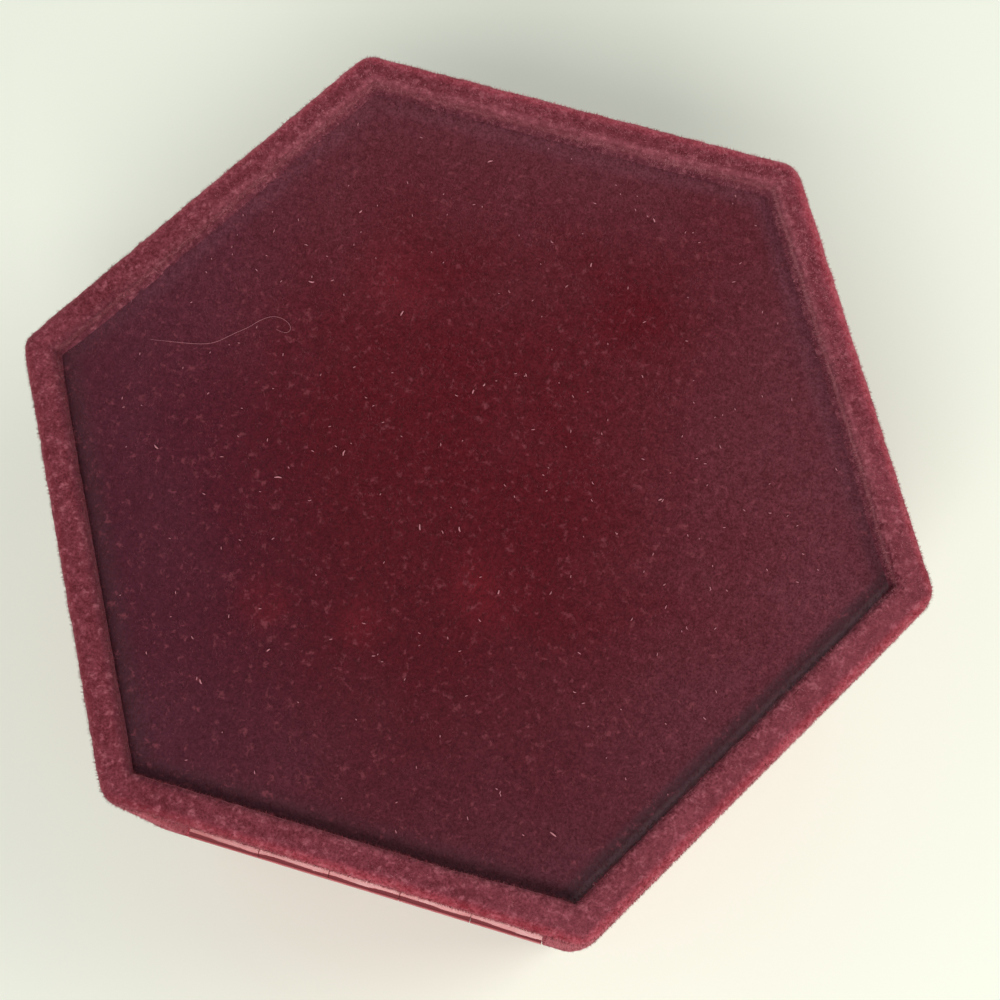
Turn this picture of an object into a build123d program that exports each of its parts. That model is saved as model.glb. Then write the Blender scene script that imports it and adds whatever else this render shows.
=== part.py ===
"""Six-sided velvet trinket box with a hinged lid.

The origin is the middle of the underside. Z is up, and the hinge is at the back, on the +Y side.
All sizes are in millimetres and degrees.
"""
import os
from math import atan2, cos, degrees, radians, sin, tan

from build123d import *

# Whole box: its width is measured across two flat sides, at the top
width_at_rim = 90.0
flare = 1.1
base_height = 28.0
lid_height = 29.0
corner_round = 4.0
parting_gap = 0.2

# Cover and moulded cores
velvet = 0.8
rim_wall = 1.6
core_floor = 2.0
core_ceiling = 2.0
cavity_corner = 0.3

# Underside
underside_card = 1.0
underside_margin = 2.0
velvet_hem = 8.0
foot_round = 1.5

# Rim and recessed top panel
rim_land = 3.4
rim_round = 1.3
rim_inner_round = 0.8
recess_depth = 2.0
recess_corner = 0.8
top_board = 1.2
board_gap = 0.1
board_wrap = 0.5

# Lining, cards and pads
lining = 1.0
lining_round = 0.3
lining_setback = 0.4
seam_gap = 0.05
card = 1.2
card_gap = 0.1
base_pad = 4.5
lid_pad = 3.0
pad_gap = 0.3
pad_crown = 1.5
pad_draw_in = 0.5
pad_corner = 3.0
pad_round = 1.2

# Hinge
slot_length = 45.0
slot_setback = 0.1
barrel_clearance = 0.3
pin_diameter = 1.1
pin_clearance = 0.05
leaf = 0.5
leaf_end_gap = 0.5
leaf_parting_gap = 0.1
leaf_height = 8.0
knuckle_count = 5
knuckle_gap = 0.15
opening_angle = 95.0
ear_clearance = 0.15

# Rivets
rivet_count = 4
rivet_diameter = 1.6
rivet_head_diameter = 2.6
rivet_head = 0.35
rivet_clearance = 0.03
rivet_height = 5.0

sides = 6
half_side = tan(radians(180 / sides))
total_height = base_height + lid_height
rim_apothem = width_at_rim / 2
parting_apothem = rim_apothem + flare
draft = degrees(atan2(flare, lid_height))
cavity_apothem = rim_apothem - velvet - rim_wall
lining_apothem = cavity_apothem - lining

floor_top = underside_card + velvet + core_floor
cushion_seat = floor_top + card
panel_top = total_height - recess_depth
board_top = panel_top - velvet
board_seat = board_top - top_board
ceiling = board_seat - core_ceiling
lid_pad_seat = ceiling - card
recess_apothem = rim_apothem - rim_land

leaf_face = cavity_apothem + leaf
barrel_radius = (parting_apothem - leaf_face - barrel_clearance) / 2
axis_y = parting_apothem - barrel_radius
seat_half_height = barrel_radius + barrel_clearance
slot_face = rim_apothem - slot_setback
leaf_length = slot_length - 2 * leaf_end_gap
knuckle_pitch = leaf_length / knuckle_count
knuckle_length = knuckle_pitch - knuckle_gap


def apothem_at(height):
    """Half of the width across flats of the outside, which is largest at the parting line."""
    return parting_apothem - abs(height - base_height) * tan(radians(draft))


def hex_block(start, end, apothem, corner, taper=0.0, mode=Mode.ADD):
    """Six-sided block from one height to another, drawn in by the taper as it goes."""
    direction = (0, 0, 1 if end > start else -1)
    with BuildSketch(Plane((0, 0, start), x_dir=(1, 0, 0), z_dir=direction)) as outline:
        RegularPolygon(apothem, sides, major_radius=False)
        fillet(vertices(), corner)
    extrude(outline.sketch, amount=abs(end - start), taper=taper, mode=mode)


def drafted_block(start, end, inset):
    """Outside of one half, with each wall set in by the same amount."""
    apothem = apothem_at(start) - inset
    hex_block(start, end, apothem, corner_round + apothem - rim_apothem, taper=draft)


def cut_box(half_length, near_y, far_y, low, high):
    """Straight cut along the hinge."""
    with BuildSketch(Plane.YZ) as outline:
        Polygon((near_y, low), (far_y, low), (far_y, high), (near_y, high), align=None)
    extrude(outline.sketch, amount=half_length, both=True, mode=Mode.SUBTRACT)


def cut_back(inset):
    """Flat between the ears, seat of the barrel, and the bevels that stop the lid."""
    outside = parting_apothem + corner_round
    half_slot = slot_length / 2 + inset
    cut_box(half_slot, slot_face - inset, outside, foot_round + underside_card, total_height - rim_round)
    seat = seat_half_height + inset
    cut_box(half_slot, leaf_face, outside, base_height - seat, base_height + seat)
    bevel = radians(opening_angle / 2)
    apex = axis_y - (ear_clearance + inset) / sin(bevel)
    reach = rim_apothem
    with BuildSketch(Plane.YZ) as outline:
        Polygon(
            (apex, base_height),
            (apex + reach * cos(bevel), base_height + reach * sin(bevel)),
            (apex + reach * cos(bevel), base_height - reach * sin(bevel)),
            align=None,
        )
    extrude(outline.sketch, amount=width_at_rim, both=True, mode=Mode.SUBTRACT)


def cut_leaf_rebate():
    """Room for both leaves on the inner face of the back wall."""
    reach = leaf_height + leaf_end_gap
    cut_box(slot_length / 2, cavity_apothem - lining, leaf_face, base_height - reach, base_height + reach)


def base_form(inset):
    """Outside of the base, as one solid, set in by the same amount all over."""
    drafted_block(base_height - parting_gap / 2 - inset, underside_card + inset, inset)
    fillet(edges().group_by(Axis.Z)[0], foot_round - inset)
    cut_back(inset)


def lid_form(inset):
    """Outside of the lid with the recess of its top, set in by the same amount all over."""
    drafted_block(base_height + parting_gap / 2 + inset, total_height - inset, inset)
    fillet(edges().group_by(Axis.Z)[-1], rim_round - inset)
    hex_block(
        total_height - inset, board_seat, recess_apothem + inset, recess_corner + inset, mode=Mode.SUBTRACT
    )
    cut_back(inset)


def rivet_row(side, clearance=0.0, mode=Mode.ADD):
    """Flush rivets through the back wall and a leaf, above or below the parting line."""
    outer_face = slot_face - velvet
    row_height = base_height + side * rivet_height
    pitch = leaf_length / rivet_count
    shank = rivet_diameter / 2 + clearance
    head = rivet_head_diameter / 2 + clearance
    for radius, depth in ((shank, outer_face - cavity_apothem), (head, rivet_head)):
        with BuildSketch(Plane.XZ.offset(-outer_face)) as outline:
            with Locations((0, row_height)):
                with GridLocations(pitch, pitch, rivet_count, 1):
                    Circle(radius)
        extrude(outline.sketch, amount=depth, mode=mode)


def hinge_leaf(side, first_knuckle):
    """Flange on the back wall's inner face, with knuckles rolled round the pin."""
    near = base_height + side * leaf_parting_gap / 2
    far = base_height + side * leaf_height
    with BuildSketch(Plane.YZ) as outline:
        Polygon(
            (cavity_apothem, near), (leaf_face, near), (leaf_face, far), (cavity_apothem, far), align=None
        )
    extrude(outline.sketch, amount=leaf_length / 2, both=True)
    for index in range(first_knuckle, knuckle_count, 2):
        middle = (index + 0.5) * knuckle_pitch - leaf_length / 2
        with BuildSketch(Plane.YZ.offset(middle)) as outline:
            Polygon(
                (cavity_apothem, near),
                (axis_y, near),
                (axis_y, near + side * leaf),
                (cavity_apothem, near + side * leaf),
                align=None,
            )
            with Locations((axis_y, base_height)):
                Circle(barrel_radius)
        extrude(outline.sketch, amount=knuckle_length / 2, both=True)
    with BuildSketch(Plane.YZ) as outline:
        with Locations((axis_y, base_height)):
            Circle(pin_diameter / 2 + pin_clearance)
    extrude(outline.sketch, amount=leaf_length, both=True, mode=Mode.SUBTRACT)
    rivet_row(side, rivet_clearance, Mode.SUBTRACT)


def lining_panel(turn, low, high, free_end):
    """One covered card panel of the wall lining, mitred at both ends."""
    seam = cavity_corner * half_side + seam_gap
    outer_half = cavity_apothem * half_side - seam
    inner_half = lining_apothem * half_side - seam
    with BuildSketch(Plane.XY.offset(low).rotated((0, 0, turn))) as outline:
        Polygon(
            (-outer_half, cavity_apothem),
            (outer_half, cavity_apothem),
            (inner_half, lining_apothem),
            (-inner_half, lining_apothem),
            align=None,
        )
    extrude(outline.sketch, amount=high - low)
    fillet(edges().group_by(Axis.Z)[free_end], lining_round)


def pad(seat, thickness, up):
    """Crowned pad whose sides are drawn in between its corners."""
    apothem = lining_apothem - pad_gap
    corner_reach = apothem / cos(radians(180 / sides))
    step = 360 / sides
    with BuildSketch(Plane((0, 0, seat), x_dir=(1, 0, 0), z_dir=(0, 0, up))) as outline:
        with BuildLine():
            for index in range(sides):
                corner = Vector(corner_reach, 0).rotate(Axis.Z, index * step)
                middle = Vector(apothem - pad_draw_in, 0).rotate(Axis.Z, (index + 0.5) * step)
                ThreePointArc(corner, middle, corner.rotate(Axis.Z, step))
        make_face()
        fillet(vertices(), pad_corner)
    extrude(outline.sketch, amount=thickness + pad_crown)
    crown_radius = (apothem**2 + pad_crown**2) / (2 * pad_crown)
    with Locations((0, 0, seat + up * (thickness + pad_crown - crown_radius))):
        Sphere(crown_radius, rotation=(90, 0, 0), mode=Mode.INTERSECT)
    crowned_face = faces().filter_by(GeomType.SPHERE)[0]
    fillet(crowned_face.edges(), pad_round)


# Base
with BuildPart() as base_core:
    base_form(velvet)

with BuildPart() as base_velvet:
    base_form(0)
    add(base_core.part, mode=Mode.SUBTRACT)
    core_top = base_height - parting_gap / 2 - velvet
    hex_block(core_top, base_height, cavity_apothem, cavity_corner, mode=Mode.SUBTRACT)
    hem_edge = apothem_at(0) - velvet_hem
    hex_block(underside_card, underside_card + velvet, hem_edge, cavity_corner, mode=Mode.SUBTRACT)
    cut_leaf_rebate()

with BuildPart() as base_shell:
    base_form(velvet)
    hex_block(floor_top, base_height, cavity_apothem, cavity_corner, mode=Mode.SUBTRACT)
    cut_leaf_rebate()
    rivet_row(-1, rivet_clearance, Mode.SUBTRACT)

with BuildPart() as base_underside_card:
    hex_block(0, underside_card, apothem_at(0) - underside_margin, corner_round)

with BuildPart() as base_floor_card:
    hex_block(floor_top, cushion_seat, lining_apothem - card_gap, cavity_corner)

with BuildPart() as base_cushion:
    pad(cushion_seat, base_pad, 1)

with BuildPart() as hinge_leaf_base:
    hinge_leaf(-1, first_knuckle=0)

with BuildPart() as hinge_rivets_base:
    rivet_row(-1)

with BuildPart() as hinge_pin:
    with BuildSketch(Plane.YZ):
        with Locations((axis_y, base_height)):
            Circle(pin_diameter / 2)
    extrude(amount=leaf_length / 2, both=True)

# Lid
with BuildPart() as lid_core:
    lid_form(velvet)

with BuildPart() as lid_velvet:
    lid_form(0)
    top_face = faces().filter_by(Axis.Z).sort_by(Axis.Z)[-1]
    fillet(top_face.inner_wires()[0].edges(), rim_inner_round)
    add(lid_core.part, mode=Mode.SUBTRACT)
    core_bottom = base_height + parting_gap / 2 + velvet
    hex_block(base_height, core_bottom, cavity_apothem, cavity_corner, mode=Mode.SUBTRACT)
    cut_leaf_rebate()

with BuildPart() as lid_shell:
    lid_form(velvet)
    hex_block(base_height, ceiling, cavity_apothem, cavity_corner, mode=Mode.SUBTRACT)
    cut_leaf_rebate()
    rivet_row(1, rivet_clearance, Mode.SUBTRACT)

with BuildPart() as lid_top_board:
    board_apothem = recess_apothem - board_gap - board_wrap
    hex_block(board_seat, board_top, board_apothem, recess_corner)

with BuildPart() as lid_top_velvet:
    hex_block(board_seat, panel_top, recess_apothem - board_gap, recess_corner)
    add(lid_top_board.part, mode=Mode.SUBTRACT)

with BuildPart() as lid_pad_card:
    hex_block(ceiling, lid_pad_seat, lining_apothem - card_gap, cavity_corner)

with BuildPart() as lid_pad_cushion:
    pad(lid_pad_seat, lid_pad, -1)

with BuildPart() as hinge_leaf_lid:
    hinge_leaf(1, first_knuckle=1)

with BuildPart() as hinge_rivets_lid:
    rivet_row(1)

pieces = {
    "base_shell": base_shell,
    "base_velvet": base_velvet,
    "base_underside_card": base_underside_card,
    "base_floor_card": base_floor_card,
    "base_cushion": base_cushion,
    "hinge_leaf_base": hinge_leaf_base,
    "hinge_rivets_base": hinge_rivets_base,
    "hinge_pin": hinge_pin,
    "lid_shell": lid_shell,
    "lid_velvet": lid_velvet,
    "lid_top_board": lid_top_board,
    "lid_top_velvet": lid_top_velvet,
    "lid_pad_card": lid_pad_card,
    "lid_pad": lid_pad_cushion,
    "hinge_leaf_lid": hinge_leaf_lid,
    "hinge_rivets_lid": hinge_rivets_lid,
}

# Wall lining, one panel for each side, named by where it stands
for place, name in enumerate(("back", "back_left", "front_left", "front", "front_right", "back_right")):
    with BuildPart() as base_lining:
        lining_panel(place * 360 / sides, floor_top, base_height - lining_setback, free_end=-1)
    with BuildPart() as lid_lining:
        lining_panel(place * 360 / sides, base_height + lining_setback, ceiling, free_end=0)
    pieces[f"base_lining_{name}"] = base_lining
    pieces[f"lid_lining_{name}"] = lid_lining

os.makedirs("parts", exist_ok=True)
for name, piece in pieces.items():
    piece.part.label = name
    export_step(piece.part, f"parts/{name}.step")
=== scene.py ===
"""Looks of the six-sided velvet trinket box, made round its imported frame.

+Z is up and the hinge is on the +Y side. Lengths are in metres: one that is written in
millimetres is multiplied by MM. Each piece is a mesh in the frame's own place, with the lid shut.
"""
import math

import bpy
import numpy as np
from mathutils import Matrix, Vector


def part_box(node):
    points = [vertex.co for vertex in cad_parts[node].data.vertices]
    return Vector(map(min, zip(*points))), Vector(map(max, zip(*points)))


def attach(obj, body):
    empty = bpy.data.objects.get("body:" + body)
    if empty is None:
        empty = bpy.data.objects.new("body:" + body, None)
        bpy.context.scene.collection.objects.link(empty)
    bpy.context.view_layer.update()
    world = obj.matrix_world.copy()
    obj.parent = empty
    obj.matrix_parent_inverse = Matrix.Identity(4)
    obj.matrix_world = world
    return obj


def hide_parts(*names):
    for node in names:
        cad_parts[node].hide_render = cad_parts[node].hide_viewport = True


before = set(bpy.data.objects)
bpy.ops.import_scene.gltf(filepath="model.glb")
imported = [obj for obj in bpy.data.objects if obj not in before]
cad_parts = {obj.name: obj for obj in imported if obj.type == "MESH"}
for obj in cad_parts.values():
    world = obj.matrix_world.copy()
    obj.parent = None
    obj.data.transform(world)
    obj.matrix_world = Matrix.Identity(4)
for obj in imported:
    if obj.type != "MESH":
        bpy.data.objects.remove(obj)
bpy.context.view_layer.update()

MM = 0.001
SIDES = 6
SIXTH = 2 * math.pi / SIDES
BACK = 1


def added(name, data):
    """New object in the scene."""
    piece = bpy.data.objects.new(name, data)
    bpy.context.scene.collection.objects.link(piece)
    return piece


# Camera
def camera():
    """The photograph's view: close, from almost straight above the hinge."""
    place = Vector((-18.450, 45.234, 220.354)) * MM
    aim = Vector((-4.405, 2.546, 55.7)) * MM
    picture_up = Vector((0.270464, -0.926065, 0.263159))
    data = bpy.data.cameras.new("camera")
    data.sensor_width = 36
    data.lens = 56.57
    data.clip_start = 0.01
    piece = added("camera", data)
    back = (place - aim).normalized()
    right = picture_up.cross(back).normalized()
    turned = Matrix((right, back.cross(right), back)).transposed()
    piece.matrix_world = Matrix.Translation(place) @ turned.to_4x4()
    bpy.context.scene.camera = piece


camera()

# Places that the frame gives
lid_low, lid_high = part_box("lid_velvet")
base_low, base_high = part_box("base_velvet")
panel_low, panel_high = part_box("lid_top_velvet")
pin_low, pin_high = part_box("hinge_pin")
PARTING = (lid_low.z + base_high.z) / 2
RIM_TOP = lid_high.z
PARTING_REACH = -lid_low.y
AXIS_Y = (pin_low.y + pin_high.y) / 2
PIN_RADIUS = (pin_high.z - pin_low.z) / 2
LEAF_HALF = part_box("hinge_leaf_base")[1].x
LINING_REACH = -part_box("base_lining_front")[1].y
CAVITY_REACH = -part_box("base_lining_front")[0].y

# Cover: its walls lean in by the taper above and below the parting line
FLARE = 1.1 * MM
CORNER = 2.8 * MM
INNER_CORNER = 0.25 * MM
CLOTH = 0.8 * MM
LIP_ROUND = 0.4 * MM
RIM_REACH = PARTING_REACH - FLARE
HEART_REACH = RIM_REACH - CORNER
TAPER = FLARE / (RIM_TOP - PARTING)
RIM_ROUND = 1.3 * MM
RIM_LAND = 3.5 * MM
INNER_ROUND = 0.55 * MM
WIDER_RIM = 0.3 * MM
FOOT_FILLET = 0.6 * MM
TUCK = 0.3 * MM
FOOT_ROUND = 1.5 * MM
HEM_SHOWN = 3.6 * MM

# Back of the cover between its ears, where the hinge is let in
SLOT_HALF = 22.12 * MM
SLOT_SETBACK = 0.1 * MM
EAR_BLEND = 0.2 * MM
SEAT_HALF_HEIGHT = 1.65 * MM
SEAT_REACH = 43.1 * MM
EAR_APEX = AXIS_Y - 0.2 * MM
EAR_BEVEL = math.radians(95 / 2)

# Hinge: angles round its barrel are in degrees from straight up, towards the back
BARREL_RADIUS = 1.35 * MM
BORE_RADIUS = PIN_RADIUS + 0.05 * MM
PLANISHED_REACH = 1.2 * MM
PLANISHED_AT = 19
SEAM_REACH = 1.08 * MM
SEAM_START = 37
SEAM_END = 78
WEB_LENGTH = 2.0 * MM
LEAF = 0.5 * MM
LEAF_GAP = 0.05 * MM
LEAF_HEIGHT = 8 * MM
RIVETS = 4
RIVET_HEIGHT = 5 * MM
RIVET_HOLE = 0.83 * MM
KNUCKLES = 5
KNUCKLE_GAP = 0.06 * MM
PIN_SIDES = 32

# Grid of the cover's mesh, the unevenness of its pile, and the fibres that each piece of pile has
GRID = 0.42 * MM
TUFT = 1.1 * MM
TUFT_HEIGHT = 0.06 * MM
GRAIN = 0.45 * MM
GRAIN_HEIGHT = 0.035 * MM
FIBRES = 49000
FIBRE_WIDTH = 0.06 * MM
FIBRE_ROOT = 0.08 * MM


# Geometry helpers
def smooth(value):
    """0 below 0, 1 above 1, and a soft step between."""
    share = np.clip(value, 0, 1)
    return share * share * (3 - 2 * share)


def unit(vectors):
    """Vectors made one long."""
    return vectors / np.maximum(np.linalg.norm(vectors, axis=-1, keepdims=True), 1e-12)


def ripple(points, wavelength, seed):
    """Smooth random numbers from -1 to 1 that change over about one wavelength."""
    cell = np.asarray(points) / wavelength + 4096
    corner = np.floor(cell).astype(np.int64)
    share = cell - corner
    share = share * share * (3 - 2 * share)
    total = np.zeros(len(cell))
    for step in np.ndindex(2, 2, 2):
        x, y, z = (corner + step).T
        mixed = (x * 73856093 ^ y * 19349663 ^ z * 83492791 ^ seed * 2654435761) & 0xFFFFFFFF
        mixed = (mixed ^ mixed >> 15) * 2246822519 & 0xFFFFFFFF
        mixed = (mixed ^ mixed >> 13) * 3266489917 & 0xFFFFFFFF
        weight = np.where(np.array(step) == 1, share, 1 - share).prod(axis=1)
        total += weight * ((mixed ^ mixed >> 16) / 0x7FFFFFFF - 1)
    return total


def line(start, end, count):
    """Points from start up to, and without, end."""
    shares = np.arange(count)[:, None] / count
    return np.array(start) + (np.array(end) - np.array(start)) * shares


def arc(centre, radius, first, last, count):
    """Points on an arc, by its angles in degrees, without its last point."""
    angles = np.radians(first + (last - first) * np.arange(count) / count)
    return np.array(centre) + radius * np.stack([np.cos(angles), np.sin(angles)], axis=1)


def way_out(turn):
    """Outward direction at a turn from +X, and the direction to the left of it."""
    return np.array([math.cos(turn), math.sin(turn)]), np.array([-math.sin(turn), math.cos(turn)])


def reach_of(places):
    """How far each place is from the middle, square to the nearest of the six sides."""
    outs = np.array([way_out((side + 0.5) * SIXTH)[0] for side in range(SIDES)])
    return (np.asarray(places)[:, :2] @ outs.T).max(axis=1)


def soft_edge(inside, radius):
    """How far a face falls away near its edge, by the distance inside that edge."""
    past = np.clip(1 - inside / radius, 0, 1)
    return radius * (1 - np.sqrt(1 - past**2))


def mesh_object(name, points, faces, materials, face_material=None, smooth_shaded=True):
    """New object with a mesh."""
    mesh = bpy.data.meshes.new(name)
    mesh.from_pydata(np.asarray(points).tolist(), [], faces if isinstance(faces, list) else faces.tolist())
    for material in materials:
        mesh.materials.append(material)
    if face_material is not None:
        mesh.polygons.foreach_set("material_index", face_material)
    if smooth_shaded:
        mesh.shade_smooth()
    mesh.update()
    return added(name, mesh)


def fit(piece, body, slot, *nodes):
    """Rides a piece on its body and hides the nodes that it stands for."""
    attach(piece, body)
    if nodes:
        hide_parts(*nodes)
    return piece


def torus_faces(rows, columns):
    """Quads of a grid that closes on itself both ways."""
    here = np.arange(rows * columns).reshape(rows, columns)
    beside = np.roll(here, -1, axis=1)
    above, across = np.roll(here, -1, axis=0), np.roll(beside, -1, axis=0)
    return np.stack([here, beside, across, above], axis=-1).reshape(-1, 4)


def normals_of(points, faces):
    """Unit normal at each point."""
    corners = points[faces]
    across = np.cross(corners[:, 2] - corners[:, 0], corners[:, -1] - corners[:, 1])
    total = np.zeros_like(points)
    for corner in range(faces.shape[1]):
        np.add.at(total, faces[:, corner], across)
    return unit(total)


def ruffle(points, faces, weight, seed):
    """Moves points along their normals, as the uneven pile of velvet stands."""
    height = TUFT_HEIGHT * ripple(points, TUFT, seed) + GRAIN_HEIGHT * ripple(points, GRAIN, seed + 1)
    return points + normals_of(points, faces) * (height * weight)[:, None]


def joined(parts):
    """Points and faces of several closed forms as one mesh."""
    points, faces, first = [], [], 0
    for part_points, part_faces in parts:
        points.append(np.asarray(part_points))
        faces += [tuple(int(index) + first for index in face) for face in part_faces]
        first += len(part_points)
    return np.concatenate(points), faces


# Shader maths
class Grade:
    """A value that varies over a surface. Arithmetic on it adds Math nodes."""

    def __init__(self, nodes, socket):
        self.nodes = nodes
        self.socket = socket

    def calc(self, operation, *values):
        return self.nodes.node("ShaderNodeMath", {"operation": operation}, dict(enumerate(values)))

    def __add__(self, other):
        return self.calc("ADD", self, other)

    __radd__ = __add__

    def __sub__(self, other):
        return self.calc("SUBTRACT", self, other)

    def __rsub__(self, other):
        return self.calc("SUBTRACT", other, self)

    def __mul__(self, other):
        return self.calc("MULTIPLY", self, other)

    __rmul__ = __mul__

    def __abs__(self):
        return self.calc("ABSOLUTE", self)

    def larger(self, other):
        return self.calc("MAXIMUM", self, other)

    def clamp(self):
        return self.nodes.node("ShaderNodeClamp", {}, {"Value": self})


class Nodes:
    """The nodes of a material or of the world."""

    def __init__(self, owner):
        owner.use_nodes = True
        self.tree = owner.node_tree

    def node(self, kind, settings, inputs, output=0):
        made = self.tree.nodes.new(kind)
        for setting, value in settings.items():
            setattr(made, setting, value)
        for key, value in inputs.items():
            self.feed(made.inputs[key], value)
        return Grade(self, made.outputs[output])

    def feed(self, socket, value):
        if isinstance(value, Grade):
            self.tree.links.new(value.socket, socket)
        else:
            socket.default_value = value


class Finish(Nodes):
    """A material with one Principled shader."""

    def __init__(self, name, **uniform):
        self.material = bpy.data.materials.new(name)
        super().__init__(self.material)
        self.shader = self.tree.nodes["Principled BSDF"]
        for socket, value in uniform.items():
            self.paint(socket.replace("_", " "), value)
        self.place = self.node("ShaderNodeTexCoord", {}, {}, "Object")
        self.x, self.y, self.z = (
            self.node("ShaderNodeSeparateXYZ", {}, {0: self.place}, axis) for axis in "XYZ"
        )

    def paint(self, socket, value):
        self.feed(self.shader.inputs[socket], value)

    def noise(self, size, detail=2.0, roughness=0.5, where=None, distortion=0.0):
        """Noise whose lumps are about one size across."""
        inputs = {
            "Vector": where or self.place,
            "Scale": 1 / size,
            "Detail": detail,
            "Roughness": roughness,
            "Distortion": distortion,
        }
        return self.node("ShaderNodeTexNoise", {}, inputs)

    def drawn_out(self, along):
        """Places on the surface, stretched along X for brush marks and long threads."""
        return self.node("ShaderNodeCombineXYZ", {}, {0: self.x * along, 1: self.y, 2: self.z})

    def spread(self, value, low, high, to_low=0.0, to_high=1.0):
        """A value's range from low to high, stretched to another range and kept in it."""
        inputs = {"Value": value, 1: low, 2: high, 3: to_low, 4: to_high}
        return self.node("ShaderNodeMapRange", {"interpolation_type": "SMOOTHSTEP"}, inputs)

    def near(self, spot, radius):
        """1 at a spot, and 0 from its radius outwards."""
        away = self.node("ShaderNodeVectorMath", {"operation": "DISTANCE"}, {0: self.place, 1: spot}, "Value")
        return self.spread(away, 0, radius, 1, 0)

    def reach(self):
        """Distance from the middle, square to the nearest of the six sides."""
        reach = abs(self.y)
        for side in (-1, 1):
            reach = reach.larger(abs(self.x * math.cos(SIXTH / 2) + self.y * (side * math.sin(SIXTH / 2))))
        return reach

    def mix(self, share, first, second):
        """Colour between two colours."""
        return self.node("ShaderNodeMix", {"data_type": "RGBA"}, {0: share, 6: first, 7: second}, 2)

    def bump(self, height, distance):
        """Small unevenness, as a normal."""
        return self.node("ShaderNodeBump", {}, {"Distance": distance, "Height": height})

    def grained(self, grain, at_low, at_high, distance):
        """Roughness that goes from one value to another with a grain, and unevenness of that grain."""
        self.paint("Roughness", self.spread(grain, 0.3, 0.7, at_low, at_high))
        self.paint("Normal", self.bump(grain, distance))


def rgb(red, green, blue):
    """Linear colour, with its alpha, from 8-bit display numbers."""
    shares = [value / 255 for value in (red, green, blue)]
    return tuple(s / 12.92 if s <= 0.04045 else ((s + 0.055) / 1.055) ** 2.4 for s in shares) + (1.0,)


def pile_finish(name, sheen):
    """Start of a velvet: its finish, and the tone that its tufts and grain give."""
    finish = Finish(
        name, Sheen_Weight=sheen, Sheen_Roughness=0.35, Sheen_Tint=rgb(222, 140, 152), Specular_IOR_Level=0.12
    )
    grain = finish.noise(0.3 * MM, 3.0, 0.7)
    height = 0.3 * finish.noise(TUFT) + 0.7 * grain
    finish.paint("Roughness", finish.spread(grain, 0.3, 0.7, 0.95, 0.75))
    finish.paint("Normal", finish.bump(height, 0.22 * MM))
    return finish, finish.spread(height, 0.34, 0.66)


def cover_velvet():
    """Velvet of the walls and the rim.

    It is a lighter, pinker copy of the top panel's velvet, as painted sheen, and mottled. More painted sheen
    makes it rosier where its pile stands out sideways on the rim's outer rounding. It has a dull tone on the
    slope inside the rim, painted light and shade by side on the land, the outer band and the slope, and
    painted shade at the slope's foot."""
    finish, tone = pile_finish("cover_velvet", 0.7)
    brushed = finish.noise(9 * MM, distortion=0.4)
    clumps = finish.spread(finish.noise(0.7 * MM, 3.0, 0.7, distortion=0.25), 0.36, 0.66)
    tone = (tone * 0.6 + (brushed - 0.45) * 0.6 + (clumps - 0.3) * 0.4).clamp()
    x, y, z, reach = finish.x, finish.y, finish.z, finish.reach()
    at_top = finish.spread(z, RIM_TOP - 4 * MM, RIM_TOP - 3 * MM)
    above_foot = finish.spread(z, panel_high.z, panel_high.z + 0.8 * MM)
    front = finish.spread(0.2 * x + y, -46 * MM, -6 * MM, 1, 0)
    back_right = finish.spread(0.87 * x + 0.5 * y, 22 * MM, 44 * MM)
    back_left = finish.spread(0.5 * y - 0.87 * x, 22 * MM, 44 * MM)
    # painted sheen: the lighter, rosier outer tone takes over on the rim's outer rounding
    edge_sheen = finish.spread(reach, RIM_REACH - 1.3 * MM, RIM_REACH - 0.2 * MM)
    rounding = finish.spread(reach, RIM_REACH - 1.8 * MM, RIM_REACH - 0.6 * MM)
    recess = RIM_REACH - RIM_LAND
    inside_rim = finish.spread(reach, recess + 0.2 * MM, recess + 1.0 * MM, 1, 0)
    light_tufts = finish.spread(finish.noise(0.7 * MM, 3.0, 0.6, distortion=0.3), 0.54, 0.72)

    # Land, outer band and slope tones: lighter and pinker than the top panel's velvet, a painted sheen
    land = finish.mix(tone, rgb(90, 30, 40), rgb(142, 66, 79))
    # painted light: the land is lighter towards the back left
    land = finish.mix(back_left * 0.2, land, rgb(156, 80, 92))
    outer = finish.mix(tone, rgb(126, 34, 46), rgb(184, 84, 98))
    # painted shade: the outer band on the rim's top is darker towards the back right
    outer = finish.mix(back_right * at_top * 0.6, outer, rgb(100, 34, 44))
    slope = finish.mix(tone, rgb(90, 32, 43), rgb(152, 78, 90))
    # painted light: the slope inside the rim is lighter towards the front
    slope = finish.mix(front * 0.2, slope, rgb(180, 98, 112))
    # painted shade: the slope inside the rim is darker towards the back right
    slope = finish.mix(back_right * 0.6, slope, rgb(84, 30, 42))
    # painted shade: the lowest part of the slope, where it meets the panel, is darker
    foot = finish.mix(tone, rgb(86, 34, 46), rgb(126, 62, 75))
    slope = finish.mix(above_foot, foot, slope)
    # painted highlight on the rim's outer rounding at the front
    painted_highlight = finish.mix(tone, rgb(146, 50, 64), rgb(208, 92, 110))
    colour = finish.mix(edge_sheen.larger(0.8 - at_top), land, outer)
    colour = finish.mix(rounding * front * at_top * 0.5, colour, painted_highlight)
    colour = finish.mix(inside_rim * at_top, colour, slope)
    finish.paint("Base Color", finish.mix(light_tufts * 0.35, colour, rgb(188, 112, 124)))
    return finish.material


# Faint redder places on the top panel, where its pile was brushed up: x, y and radius in millimetres
BRUSHED_UP = [(17.1, 20.3, 4.5), (6.1, 19.4, 4.0), (14.1, -20.3, 8.0), (-6.0, 12.0, 7.0)]


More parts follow.
